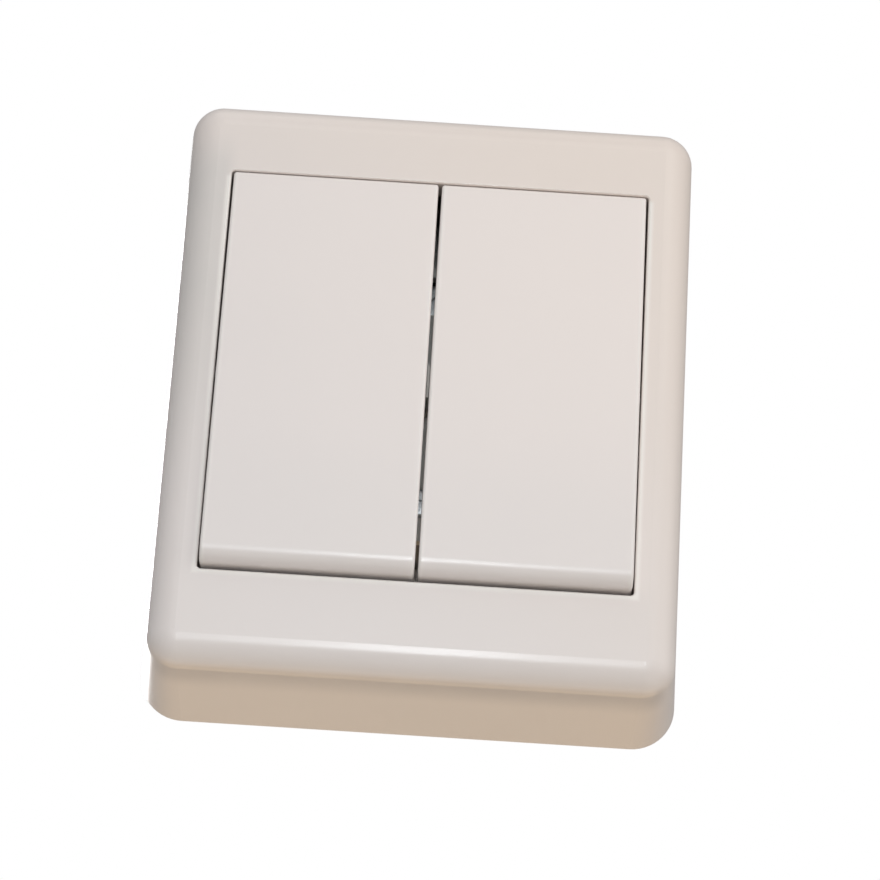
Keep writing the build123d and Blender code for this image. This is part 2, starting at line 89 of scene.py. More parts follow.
# %% [markdown]
# ## A studio round the switch
#
# Glossy white plastic shows what stands round it more than it shows itself. So the studio is
# built from what the plastic has to mirror. A narrow upright strip straight ahead draws the short
# bright line on the lower rounding of the cover. Large soft lamps light the faces, more from the
# right and from above, and a warm one behind and below colours the lower side, which looks
# down. One more lights the back, for whoever turns the switch over, and its beam is narrow so
# that it doesn't flood the floor. One bright lamp would be simpler, but it would leave every
# rounding that turns away black.

# %% A soft lamp
middle = (0, -0.013, 0)


def soft_lamp(name, place, size, power, colour=(1, 1, 1), spread=math.pi):
    """Rectangular lamp that looks at the switch's middle, and that the camera doesn't see."""
    data = bpy.data.lights.new(name, "AREA")
    data.shape = "RECTANGLE"
    data.size, data.size_y = size
    data.energy = power
    data.color = colour
    data.spread = spread
    lamp = bpy.data.objects.new(name, data)
    lamp.location = place
    lamp.rotation_euler = (Vector(place) - Vector(middle)).to_track_quat("Z", "Y").to_euler()
    lamp.visible_camera = False
    bpy.context.scene.collection.objects.link(lamp)


# %% Lamps in their places
cool = (0.9, 0.965, 1.0)
sunny = (1.0, 0.95, 0.88)
soft_lamp("strip_ahead", (0.01, -1.4, 0.0), (0.1, 0.5), 3.3, cool)
soft_lamp("lamp_ahead", (0.0, -1.5, 0.0), (1.5, 1.2), 2.75, cool)
soft_lamp("lamp_above", (0.5, -1.5, 1.2), (1.4, 1.0), 5.5, sunny)
soft_lamp("lamp_right", (1.2, -1.2, 0.5), (1.6, 1.6), 4.12, sunny)
soft_lamp("lamp_beside", (1.3, -0.3, 0.1), (0.8, 0.8), 1.07, (1.0, 0.93, 0.82))
soft_lamp("lamp_behind", (0.0, 0.35, -0.5), (0.8, 0.4), 1.23, (1.0, 0.692, 0.352))
soft_lamp("lamp_overhead", (0.0, -0.3, 1.3), (1.0, 0.8), 1.58, (1.0, 0.92, 0.82))
soft_lamp("lamp_at_back", (-0.5, 2.2, 0.6), (1.2, 0.9), 2.6, spread=math.radians(50))

# %% [markdown]
# ## Floor, card and air
#
# A pale floor lies far below, and faint cool air lights every side a little. The wall behind is
# left out, so that the back can be seen. But without it, daylight would show through the slots
# for the wall screws and draw bright dots in the gaps beside the rockers. So a small card lies
# where the wall would. A real wall would be simpler, but it would hide the back.

# %% Floor, card and air
floor_level = -0.9
floor_reach = 4.0
bpy.ops.mesh.primitive_plane_add(size=2 * floor_reach, location=(0, 0, floor_level))
floor = bpy.context.object
floor.name = "studio_floor"

card_behind = 0.00005
card_size = 0.08
upright = (math.pi / 2, 0, 0)
bpy.ops.mesh.primitive_plane_add(size=card_size, location=(0, card_behind, 0), rotation=upright)
card = bpy.context.object
card.name = "card_for_wall"

bpy.context.scene.view_settings.view_transform = "Standard"
ambient_white = (0.985, 0.99, 1.0, 1.0)
ambient_strength = 0.36
world = bpy.data.worlds.new("studio_air")
world.use_nodes = True
bpy.context.scene.world = world
print("studio:", floor.name, card.name, world.name)

# %% [markdown]
# ## Arithmetic on a surface
#
# A material is a graph of nodes, and most of a graph is sums: this mask times that noise, one
# minus the rest. Wiring each Math node by hand hides the thought. So one small class wraps a
# socket and gives it the signs of arithmetic, and a second one, the palette, adds every other
# kind of node. A finish is then a function that takes a palette and gives back what each socket
# of the surface shader gets.

# %% Sums of sockets
class Amount:
    """A number that varies over the surface. Arithmetic on it adds Math nodes."""

    def __init__(self, palette, socket):
        self.palette = palette
        self.socket = socket

    def sum(self, operation, *values):
        return self.palette.add("Math", {"operation": operation}, dict(enumerate(values)))

    def __add__(self, other):
        return self.sum("ADD", self, other)

    def __sub__(self, other):
        return self.sum("SUBTRACT", self, other)

    def __rsub__(self, other):
        return self.sum("SUBTRACT", other, self)

    def __mul__(self, other):
        return self.sum("MULTIPLY", self, other)

    def __truediv__(self, other):
        return self.sum("DIVIDE", self, other)

    def __abs__(self):
        return self.sum("ABSOLUTE", self)

    __radd__ = __add__
    __rmul__ = __mul__

    def greatest(self, other):
        return self.sum("MAXIMUM", self, other)

    def least(self, other):
        return self.sum("MINIMUM", self, other)

    def power(self, exponent):
        return self.sum("POWER", self, exponent)

    def fraction(self):
        return self.sum("FRACT", self)

    def angle_from(self, other):
        """Angle of a point at (other, self), in radians."""
        return self.sum("ARCTAN2", self, other)

    def rise(self, low, high):
        """0 below low, 1 above high, and smooth between them. It falls if low is above high."""
        settings = {"interpolation_type": "SMOOTHSTEP"}
        return self.palette.add("MapRange", settings, {0: self, 1: low, 2: high})


# %% A palette that adds any node
class Palette:
    """One node graph, with a method that adds any node."""

    def __init__(self, tree):
        self.tree = tree
        tree.nodes.clear()

    def add(self, kind, settings=None, values=None, output=0):
        """Node of that kind, settings first, then its sockets' values or links.

        A kind with no Node in its name is a shader node.
        """
        node = self.tree.nodes.new(kind if "Node" in kind else "ShaderNode" + kind)
        for name, setting in (settings or {}).items():
            setattr(node, name, setting)
        for name, value in (values or {}).items():
            for one in value if isinstance(value, list) else [value]:
                if isinstance(one, Amount):
                    self.tree.links.new(one.socket, node.inputs[name])
                else:
                    node.inputs[name].default_value = one
        return Amount(self, node.outputs[output]) if node.outputs else None

    def where(self):
        """A point of the piece, in metres."""
        return self.add("TexCoord", output="Object")

    def place(self):
        """That point, and its three coordinates."""
        where = self.where()
        return where, *(self.add("SeparateXYZ", {}, {0: where}, axis) for axis in "XYZ")

    def noise(self, where, grain, detail=3.0, roughness=0.55):
        """Clouds with features about that many metres across, from 0 to 1."""
        values = {"Vector": where, "Scale": 1 / grain, "Detail": detail, "Roughness": roughness}
        return self.add("TexNoise", {}, values)

    def mix(self, mask, first, second):
        """Colour that goes from first to second as the mask goes from 0 to 1."""
        # The node has sockets for numbers, vectors and colours alike. These are the colours'.
        factor, from_colour, to_colour, mixed = 0, 6, 7, 2
        values = {factor: mask, from_colour: first, to_colour: second}
        return self.add("Mix", {"data_type": "RGBA"}, values, mixed)

    def bump(self, height, depth):
        """Normal of a surface whose height varies by that depth in metres."""
        return self.add("Bump", {}, {"Strength": 1.0, "Distance": depth, "Height": height})


# %% A finish from a function
def finish_of(name, make):
    """New material whose Principled shader gets the sockets that make() returns."""
    material = bpy.data.materials.new(name)
    material.use_nodes = True
    palette = Palette(material.node_tree)
    surface = palette.add("BsdfPrincipled", {}, make(palette))
    palette.add("OutputMaterial", {}, {"Surface": surface})
    print("finish:", name, len(material.node_tree.nodes), "nodes")
    return material


# %% [markdown]
# ## Paint for the studio
#
# A pale floor throws so much light up that it would wash out the warm lower side. The renderer
# tells a surface what kind of ray has met it, so the floor is pale to the camera's rays, and
# duller to the light. The card uses the same trick: it is a wall to rays that come from the
# front, and clear to all others. A photographer would hang black flags between floor and switch
# for the same effect.

# %% Paint for the floor, the card and the air
def pale_floor(palette):
    """Pale floor that looks well lit, and yet sends little light up to the switch."""
    where = palette.where()
    clouds = palette.noise(where, 0.4, 4.0)
    painted = palette.mix(clouds, (0.78, 0.72, 0.64, 1.0), (0.74, 0.68, 0.6, 1.0))
    pale = palette.mix(clouds, (0.8, 0.79, 0.77, 1.0), (0.76, 0.75, 0.73, 1.0))
    dull = palette.add("BsdfPrincipled", {}, {"Base Color": painted, "Roughness": 0.7})
    shown = palette.add("Emission", {}, {"Color": pale, "Strength": 1.0})
    seen_directly = palette.add("LightPath", output="Is Camera Ray")
    surface = palette.add("MixShader", {}, {0: seen_directly, 1: dull, 2: shown})
    palette.add("OutputMaterial", {}, {"Surface": surface})


def wall_seen_from_the_front(palette):
    """Dull wall for rays that see or mirror it from the front, and nothing at all for the rest."""
    shaded = {"Base Color": (0.6, 0.57, 0.54, 1.0), "Roughness": 0.7}
    dull = palette.add("BsdfPrincipled", {}, shaded)
    clear = palette.add("BsdfTransparent", {}, {"Color": (1, 1, 1, 1)})
    seen = palette.add("LightPath", output="Is Camera Ray")
    mirrored = palette.add("LightPath", output="Is Glossy Ray")
    from_behind = palette.add("NewGeometry", output="Backfacing")
    shown = (seen + mirrored) * (1 - from_behind)
    surface = palette.add("MixShader", {}, {0: shown, 1: clear, 2: dull})
    palette.add("OutputMaterial", {}, {"Surface": surface})


def white_air(palette):
    """Air that is white to the camera, and lights the switch only faintly."""
    seen = palette.add("Background", {}, {"Color": (1, 1, 1, 1), "Strength": 1.0})
    lit = palette.add("Background", {}, {"Color": ambient_white, "Strength": ambient_strength})
    to_camera = palette.add("LightPath", output="Is Camera Ray")
    surface = palette.add("MixShader", {}, {0: to_camera, 1: lit, 2: seen})
    palette.add("OutputWorld", {}, {"Surface": surface})


for piece, name, paint in [
    (floor, "pale_floor", pale_floor),
    (card, "wall_card", wall_seen_from_the_front),
]:
    material = bpy.data.materials.new(name)
    material.use_nodes = True
    paint(Palette(material.node_tree))
    piece.data.materials.append(material)
    print("paint:", name, len(material.node_tree.nodes), "nodes")
white_air(Palette(world.node_tree))

# %% [markdown]
# ## Where the rockers' opening is
#
# The cover's finish changes at the opening: a painted highlight brightens its rim, and dirt with
# painted shade darkens its walls. A painted mask could mark the place, but it would need a picture.
# The distance from the opening's sides, worked out from a point's own coordinates, marks it
# exactly.
# The painted warm light is worked out the same way, and the cover and the rockers share it.

# %% Distance from the opening's sides
opening_half_width = 0.0335
opening_half_height = 0.03375
opening_rise = 0.0012
cover_front = -0.0265


def colour_of(red, green, blue):
    """Colour from 0 to 1 a channel, with full opacity."""
    return (red, green, blue, 1.0)


def past_opening(x, z):
    """Metres outside the opening's sides, and below zero inside it."""
    return (abs(x) - opening_half_width).greatest(abs(z - opening_rise) - opening_half_height)


def painted_warm_light(palette, where, x, z):
    """Painted warm light, warmer towards the upper right where the warm lamps shine, from 0 to 1.
    """
    clouds = palette.noise(where, 0.05, 2.0)
    towards_warm_light = x * 9.0 + z * 9.0
    return (towards_warm_light + clouds * 0.3 - 0.15).rise(-0.55, 0.75)


print("opening:", 2000 * opening_half_width, "x", 2000 * opening_half_height, "mm")

# %% [markdown]
# ## Glossy white plastic of the cover
#
# The cover is moulded in a warm white resin in a polished mould. It is never one flat colour: the
# resin is a little uneven, warm light is painted into the upper right, painted shade greys the left
# edge and draws a faint dark line where the lower rounding turns under, and a painted highlight
# brightens the opening's rim. The polish is uneven too, in an orange peel a few micrometres deep,
# and with hazy patches. Clouds of noise and sums on the object's own coordinates make all this, and
# they stay sharp however near the camera comes.
#
# The roughness never falls below 0.277. In test renders, a haze that crossed about that value
# showed as islands with sharp shores. The renderer's noise filter may take smoother surfaces for
# mirrors, though that wasn't checked.

# %% Marks on the cover
# Each pair says where a mark begins and where it is full.
# The left edge's three bound painted shade, since light falls from the right.
left_edge_across = (-0.032, -0.0352)
left_edge_foot = (-0.03, 0.02)
left_edge_head = (0.043, 0.034)
lower_side = (-0.0455, -0.0475)
# These two bound a faint line of painted shade where the lower rounding turns under.
painted_shade_line_front = (-0.0244, -0.0232)
painted_shade_line_back = (-0.0145, -0.0222)
# The rim's four bound a painted highlight on the opening's rim.
rim_outside = (0.0011, 0.0004)
rim_inside = (-0.0003, 0.0001)
rim_front = (cover_front + 0.0006, cover_front + 0.0003)
rim_head = (0.0345, 0.0335)
# These two bound dirt with painted shade on the opening's walls.
dirt_and_shade_edge = (0.0005, 0.0001)
dirt_and_shade_front = (cover_front + 0.0007, cover_front + 0.002)

# Painted shade for the left edge and for the line under the lower rounding.
painted_shade_grey = colour_of(0.70, 0.67, 0.655)
painted_shade_line_grey = colour_of(0.56, 0.53, 0.545)
# Painted highlight for the opening's rim.
painted_highlight_white = colour_of(0.95, 0.92, 0.89)
# Dirt with painted shade for the opening's walls.
dirt_and_shade_brown = colour_of(0.55, 0.52, 0.49)
print("marks on the cover:", ["left edge", "painted_shade_line", "rubbed rim", "dirt_and_shade"])

# %% Glossy plastic of the cover
least_roughness = 0.277
coat_roughness = 0.12
plastic_ior = 1.5
peel_depth = 0.000005


def cover_gloss(palette):
    """Warm white gloss with painted warm light, painted shade, a painted rim highlight, dirt and
    haze.
    """
    where, x, y, z = palette.place()
    resin = palette.noise(where, 0.026, 1.5)
    pale = palette.mix(resin, colour_of(0.815, 0.762, 0.752), colour_of(0.832, 0.78, 0.772))
    warm_lit = palette.mix(resin, colour_of(0.848, 0.755, 0.7), colour_of(0.866, 0.773, 0.722))
    # Painted warm light: the colour turns warmer towards the upper right, where the warm lamps
    # shine.
    colour = palette.mix(painted_warm_light(palette, where, x, z), pale, warm_lit)

    patchiness = palette.noise(where, 0.009, 4.0)
    # Painted shade: the left edge is greyer, since light falls from the right.
    left_edge = x.rise(*left_edge_across) * z.rise(*left_edge_foot) * z.rise(*left_edge_head)
    colour = palette.mix(left_edge * (0.6 + patchiness * 0.4), colour, painted_shade_grey)

    # Painted shade: a faint dark line where the lower rounding turns under.
    lower = z.rise(*lower_side)
    under_rounding = y.rise(*painted_shade_line_front) * y.rise(*painted_shade_line_back) * lower
    colour = palette.mix(under_rounding * (0.5 + patchiness * 0.5), colour, painted_shade_line_grey)

    past = past_opening(x, z)
    # Painted highlight on the opening's rim, kept off its top edge.
    rim = past.rise(*rim_outside) * past.rise(*rim_inside)
    painted_highlight = rim * y.rise(*rim_front) * z.rise(*rim_head)
    colour = palette.mix(painted_highlight * 0.7, colour, painted_highlight_white)
    # Dirt with painted shade on the opening's walls.
    dirt_and_shade = past.rise(*dirt_and_shade_edge) * y.rise(*dirt_and_shade_front)
    colour = palette.mix(dirt_and_shade * (0.3 + patchiness * 0.3), colour, dirt_and_shade_brown)

    orange_peel = palette.noise(where, 0.0022, 2.0)
    haze = palette.noise(where, 0.014, 5.0, 0.65)
    return {
        "Base Color": colour,
        "Roughness": least_roughness + haze * 0.05 + dirt_and_shade * 0.25,
        "IOR": plastic_ior,
        "Coat Weight": 0.3 - haze * 0.12 + painted_highlight * 0.15,
        "Coat Roughness": coat_roughness,
        "Normal": palette.bump(orange_peel, peel_depth),
    }


cover_finish = finish_of("warm_white_cover_gloss", cover_gloss)

# %% [markdown]
# ## Glossy white plastic of the rockers
#
# The rockers are a touch whiter than the cover, from a batch of their own. They wear where they
# are pressed: the lower thirds are a little greyer and duller from fingertips, with hairline
# scratches, and the long edges are polished. Dirt and painted shade darken the gap between the two
# and their skirts. The same sums as the cover's make this, with the rockers' own places.

# %% Marks on the rockers
pressed_part = (-0.006, -0.024)
polished_edge = (0.0014, 0.0006)
skirt_front = (cover_front + 0.0007, cover_front + 0.003)
hairline_width = 0.00035
hairline_slant = (0, 0.5, 0)
hairline_stretch = (1, 1, 0.06)

fingertip_grey = colour_of(0.8, 0.765, 0.76)
polished_white = colour_of(0.93, 0.9, 0.88)
# The skirts' brown is dirt with painted shade.
skirt_dirt_and_shade_brown = colour_of(0.6, 0.57, 0.54)
print("marks on the rockers:", ["pressed part", "polished edges", "dusty skirt", "hairlines"])

# %% Glossy plastic of the rockers
def rocker_gloss(palette):
    """Whiter gloss with painted warm light, pressed lower thirds, polished edges, dirt and painted
    shade on the skirts, hairlines.
    """
    where, x, y, z = palette.place()
    resin = palette.noise(where, 0.024, 1.5)
    pale = palette.mix(resin, colour_of(0.852, 0.8, 0.795), colour_of(0.868, 0.816, 0.812))
    warm_lit = palette.mix(resin, colour_of(0.89, 0.812, 0.784), colour_of(0.906, 0.828, 0.8))
    # The same painted warm light as on the cover.
    colour = palette.mix(painted_warm_light(palette, where, x, z), pale, warm_lit)

    patchiness = palette.noise(where, 0.008, 5.0, 0.6)
    pressed = z.rise(*pressed_part) * (0.5 + patchiness * 0.5)
    colour = palette.mix(pressed * 0.4, colour, fingertip_grey)

    from_side = (opening_half_width - abs(x)).least(abs(x))
    polished = from_side.rise(*polished_edge)
    colour = palette.mix(polished * 0.35, colour, polished_white)
    # Dirt with painted shade on the skirts inside the gaps.
    skirt = y.rise(*skirt_front)
    colour = palette.mix(skirt * (0.25 + patchiness * 0.3), colour, skirt_dirt_and_shade_brown)

    slant = {"Vector": where, "Rotation": hairline_slant, "Scale": hairline_stretch}
    slanted = palette.add("Mapping", {}, slant)
    hairline = palette.noise(slanted, hairline_width, 2.0).rise(0.68, 0.78) * pressed
    orange_peel = palette.noise(where, 0.002, 2.0)
    haze = palette.noise(where, 0.012, 5.0, 0.65)
    return {
        "Base Color": colour,
        "Roughness": least_roughness + haze * 0.045 + pressed * 0.04 + skirt * 0.15,
        "IOR": plastic_ior,
        "Coat Weight": 0.3 - haze * 0.1 - pressed * 0.1 + polished * 0.15,
        "Coat Roughness": coat_roughness,
        "Normal": palette.bump(orange_peel - hairline * 0.4, peel_depth),
    }


rocker_finish = finish_of("warm_white_rocker_gloss", rocker_gloss)

# %% [markdown]
# ## Spark-eroded plastic, brass, silver and zinc
#
# Behind the cover the pieces are plainer. Their plastic comes out of a spark-eroded mould, whose
# grain is a field of fine pits, so its finish is dull. The strips and bridges are rolled brass:
# fine lines run one way, and a brown tarnish lies in patches. The silver rivets carry a ring of
# soot from the sparks, and the steel is zinc plated, with a faint mottle of its crystals. Each is
# one maker function with colours as its arguments, so that a new metal costs one line.

# %% Grained plastic
def grained_plastic(light, dark):
    """Dull plastic with a fine pitted grain, and scuffs on its high places."""

    def make(palette):
        where = palette.where()
        pits = palette.add("TexVoronoi", {"feature": "F1"}, {"Vector": where, "Scale": 2200.0})
        clouds = palette.noise(where, 0.011, 4.0)
        scuffs = palette.noise(where, 0.003, 6.0, 0.7).rise(0.6, 0.72)
        colour = palette.mix(clouds, colour_of(*dark), colour_of(*light))
        scuffed = colour_of(*(min(1.0, 1.12 * channel) for channel in light))
        return {
            "Base Color": palette.mix(scuffs * 0.35, colour, scuffed),
            "Roughness": 0.56 - scuffs * 0.14 + pits * 0.08,
            "Normal": palette.bump(pits - scuffs * 0.5, 0.00002),
        }

    return make


# %% Rolled brass and zinc-plated steel
def rolled_metal(light, tarnished, low, high):
    """Metal strip with fine rolling lines and patches of tarnish."""

    def make(palette):
        where = palette.where()
        along = palette.add("Mapping", {}, {"Vector": where, "Scale": (1.0, 1.0, 0.05)})
        lines = palette.noise(along, 0.00025, 4.0)
        patches = palette.noise(where, 0.003, 6.0, 0.65).rise(0.42, 0.7)
        return {
            "Base Color": palette.mix(patches * 0.7, colour_of(*light), colour_of(*tarnished)),
            "Metallic": 1.0,
            "Roughness": low + patches * (high - low) + lines * 0.06,
            "Normal": palette.bump(lines, 0.000006),
        }

    return make


def plated_steel(palette):
    """Zinc plating, with pale and dark crystals a third of a millimetre across."""
    where = palette.where()
    cells = {"Vector": where, "Scale": 3000.0}
    crystals = palette.add("TexVoronoi", {"feature": "F1"}, cells, "Color")
    shade = palette.add("SeparateColor", {}, {0: crystals}, "Red")
    dulled = palette.noise(where, 0.002, 5.0)
    bright, dark = colour_of(0.74, 0.75, 0.76), colour_of(0.5, 0.51, 0.53)
    return {
        "Base Color": palette.mix(dulled * 0.5 + shade * 0.3, bright, dark),
        "Metallic": 1.0,
        "Roughness": 0.26 + dulled * 0.16 + shade * 0.06,
        "Normal": palette.bump(shade, 0.000002),
    }


# %% Silver with soot
def sooted_silver(x_place, z_place, radius):
    """Silver rivet with a ring of soot round the point where the sparks jump."""

    def make(palette):
        where, x, y, z = palette.place()
        across = x - x_place
        up = z - z_place
        away = (across * across + up * up).power(0.5) / radius
        ragged = away + palette.noise(where, 0.0006, 4.0) * 0.4 - 0.2
        soot = ragged.rise(0.25, 0.45) * ragged.rise(0.95, 0.6)
        fine = palette.noise(where, 0.0002, 3.0)
        silver, black = colour_of(0.9, 0.89, 0.86), colour_of(0.2, 0.17, 0.15)
        return {
            "Base Color": palette.mix(soot * 0.75, silver, black),
            "Metallic": 1.0,
            "Roughness": 0.2 + soot * 0.4 + fine * 0.08,
            "Normal": palette.bump(fine, 0.000003),
        }

    return make


# %% Finishes of the inner pieces
white, off_white = (0.8, 0.77, 0.73), (0.73, 0.7, 0.65)
grey, dark_grey = (0.34, 0.335, 0.33), (0.25, 0.245, 0.24)
brass, tarnish = (0.88, 0.68, 0.34), (0.5, 0.34, 0.17)
base_finish = finish_of("grained_white_base", grained_plastic(white, off_white))
mechanism_finish = finish_of("grained_grey_mechanism", grained_plastic(grey, dark_grey))
brass_finish = finish_of("rolled_brass", rolled_metal(brass, tarnish, 0.22, 0.42))
steel_finish = finish_of("zinc_plated_steel", plated_steel)

# %% [markdown]
# ## Every piece in its finish
#
# A node's name says what it is, so its ending picks the finish: both rockers end in rocker, and
# all three kinds of screw in screw or screws. A list of all 29 names would do the same, but a
# third rocker would need a new line. Only the contacts get finishes of their own, because the
# soot is centred on each rivet.

# %% Finishes on the CAD's own pieces
finishes = {
    "cover_frame": cover_finish,
    "rocker": rocker_finish,
    "back_plate": base_finish,
    "mechanism_housing": mechanism_finish,
    "bearing_lid": base_finish,
    "cradle": base_finish,
    "plunger": base_finish,
    "screws": steel_finish,
    "screw": steel_finish,
    "spring": steel_finish,
    "bridge": brass_finish,
    "strip": brass_finish,
    "clamp": brass_finish,
}


def middle_of(name):
    """Middle of a node's box at rest."""
    lowest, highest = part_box(name)
    return [(low + high) / 2 for low, high in zip(lowest, highest)]


for name, node in switch.items():
    if name.endswith("_contact"):
        x_place, _, z_place = middle_of(name)
        lowest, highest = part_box(name)
        rivet_radius = (highest[0] - lowest[0]) / 2
        finish = finish_of(name + "_silver", sooted_silver(x_place, z_place, rivet_radius))
    else:
        ending = next(end for end in finishes if name.endswith(end))
        finish = finishes[ending]
    node.data.materials.clear()
    node.data.materials.append(finish)
print("finished:", len(switch), "pieces")

# %% [markdown]
# ## A recipe for what repeats
#
# Screws, springs and the marks of ejector pins follow rules: one wire wound at a pitch, one screw
# at many places. Geometry Nodes hold such a rule as a recipe whose sizes are named inputs, so one
# recipe makes every screw in the switch. Modelling one by hand and copying it would look the
# same, but a new length would mean new modelling. The class below adds named sizes to the graph
# of before, and the function makes a plain mesh of the recipe's result.

# %% Recipes with named sizes
class Recipe(Palette):
    """Geometry Nodes tree with named sizes, which puts one shape at every point it is given."""

    def __init__(self, name, sizes):
        super().__init__(bpy.data.node_groups.new(name, "GeometryNodeTree"))
        sockets = self.tree.interface
        sockets.new_socket("Points", in_out="INPUT", socket_type="NodeSocketGeometry")
        sockets.new_socket("Finish", in_out="INPUT", socket_type="NodeSocketMaterial")
        for size in sizes:
            sockets.new_socket(size, in_out="INPUT", socket_type="NodeSocketFloat")
        sockets.new_socket("Shape", in_out="OUTPUT", socket_type="NodeSocketGeometry")

    def size(self, name):
        return self.add("NodeGroupInput", output=name)

    def vector(self, x, y, z):
        return self.add("CombineXYZ", {}, {0: x, 1: y, 2: z})

    def point(self):
        """Three coordinates of each point of the shape being made."""
        where = self.add("GeometryNodeInputPosition")
        return [self.add("SeparateXYZ", {}, {0: where}, axis) for axis in "XYZ"]

    def moved(self, shape, x, y, z):
        values = {"Geometry": shape, "Position": self.vector(x, y, z)}
        return self.add("GeometryNodeSetPosition", {}, values)

    def close(self, shape, lean, spin):
        """Put the shape at every point, leaning and spun, as real mesh in its finish."""
        turned = self.vector(lean, spin, 0.0)
        values = {"Points": self.size("Points"), "Instance": shape, "Rotation": turned}
        placed = self.add("GeometryNodeInstanceOnPoints", {}, values)
        real = self.add("GeometryNodeRealizeInstances", {}, {0: placed})
        values = {"Geometry": real, "Material": self.size("Finish")}
        self.add("NodeGroupOutput", {}, {0: self.add("GeometryNodeSetMaterial", {}, values)})


# %% Plain mesh from a recipe
def made(recipe, name, places, finish, **sizes):
    """Plain mesh object of that name, which the recipe makes at those places."""
    seeds = bpy.data.meshes.new(name + "_places")
    seeds.from_pydata(places, [], [])
    maker = bpy.data.objects.new(name + "_maker", seeds)
    bpy.context.scene.collection.objects.link(maker)
    modifier = maker.modifiers.new("recipe", "NODES")
    modifier.node_group = recipe.tree
    chosen = {"Finish": finish, **{size.replace("_", " "): value for size, value in sizes.items()}}
    for socket in recipe.tree.interface.items_tree:
        if socket.in_out == "INPUT" and socket.name in chosen:
            modifier[socket.identifier] = chosen[socket.name]
    evaluated = maker.evaluated_get(bpy.context.evaluated_depsgraph_get())
    mesh = bpy.data.meshes.new_from_object(evaluated)
    maker.modifiers.remove(modifier)
    bpy.data.objects.remove(maker)
    piece = bpy.data.objects.new(name, mesh)
    bpy.context.scene.collection.objects.link(piece)
    print(name, "has", len(mesh.polygons), "faces")
    return piece


# %% [markdown]
# ## Closed-end coil springs
#
# The spring over each plunger is wound from half-millimetre wire. Its first and last turns lie
# close, so that it stands square, and the turns between are open. A spiral with an even rise
# misses that, so the recipe winds an even spiral first and then moves each point up by a
# smooth step: close at both ends, open between. The CAD holds a plainer coil, which this one
# replaces. It rides on its rocker.

# %% Recipe of a spring
spring_sizes = ["Wire", "Radius", "Turns", "Height", "Lean"]
spring_recipe = Recipe("closed_end_spring", spring_sizes)
wire, radius, turns, height = (spring_recipe.size(size) for size in spring_sizes[:4])
points_per_turn = 28
wound = {
    "Resolution": points_per_turn,
    "Rotations": turns,
    "Start Radius": radius,
    "End Radius": radius,
    "Height": height,
}
spiral = spring_recipe.add("GeometryNodeCurveSpiral", {}, wound)
x, y, z = spring_recipe.point()
share = z / height
touching = 1.04
open_part = (0.12, 0.88)
close_wound = turns * wire * touching
risen = share * close_wound + share.rise(*open_part) * (height - close_wound)
spiral = spring_recipe.moved(spiral, x, y, risen)
round_values = {"Resolution": 10, "Radius": wire * 0.5}
round_wire = spring_recipe.add("GeometryNodeCurvePrimitiveCircle", {}, round_values)
coil_values = {"Curve": spiral, "Profile Curve": round_wire, "Fill Caps": True}
coil = spring_recipe.add("GeometryNodeCurveToMesh", {}, coil_values)
spring_recipe.close(coil, spring_recipe.size("Lean"), 0.0)

# %% Springs in their bores
joints = {joint["name"]: joint for joint in frame["record"]["behaviour"]["joints"]}
spring_wire = 0.0005
spring_radius = 0.00155
spring_turns = 6.5
spring_low = -0.00245
spring_high = 0.00295
for gang in ("left", "right"):
    pivot = Vector(joints[f"{gang}_rocker_hinge"]["pos_m"])
    slide = joints[f"{gang}_plunger_slide"]
    outwards = Vector(slide["axis"])
    lean = math.atan2(-outwards.y, outwards.z)
    spring = made(
        spring_recipe,
        f"{gang}_coil_spring",
        [pivot + outwards * spring_low],
        steel_finish,
        Wire=spring_wire,
        Radius=spring_radius,
        Turns=spring_turns,
        Height=spring_high - spring_low,
        Lean=lean,
    )
    coil_length = spring_high - spring_low + spring_wire
    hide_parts(f"{gang}_spring")
    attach(spring, f"{gang}_rocker_body")
    kept_share = 1 - slide["range_m"][1] / coil_length
    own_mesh(spring)

# %% [markdown]
# ## Screws with real threads
#
# The switch holds three kinds of slotted cheese-head screw. A thread is a ridge that climbs as it
# goes round, so a point of the shank belongs to the ridge by its height and its angle together.
# The recipe takes a plain cylinder and moves each point in or out by that rule. The head is a
# second cylinder, with a slight dome and a rounded edge, and a block cuts its slot. The screws of
# one set stop at different angles, which come from a seeded random number.

# %% Recipe of a screw: the threaded shank
screw_sizes = ["Shank Radius", "Length", "Pitch", "Thread", "Head Radius", "Head", "Slot"]
screw_recipe = Recipe("slotted_screw", screw_sizes)
shank_radius, length, pitch, thread, head_radius, head, slot = map(screw_recipe.size, screw_sizes)

shank_values = {"Vertices": 28, "Side Segments": 84, "Radius": shank_radius, "Depth": length}
shank = screw_recipe.add("GeometryNodeMeshCylinder", {}, shank_values)
x, y, z = screw_recipe.point()
climbed = z + length * 0.5
phase = (climbed / pitch - y.angle_from(x) * (1 / (2 * math.pi))).fraction()
groove = abs(phase * 2.0 - 1.0)
threaded = climbed.rise(length, length - pitch)
pointed = 0.72 + climbed.rise(0.0, pitch * 2.0) * 0.28
share = pointed - groove * threaded * thread / shank_radius
shank = screw_recipe.moved(shank, x * share, y * share, climbed)

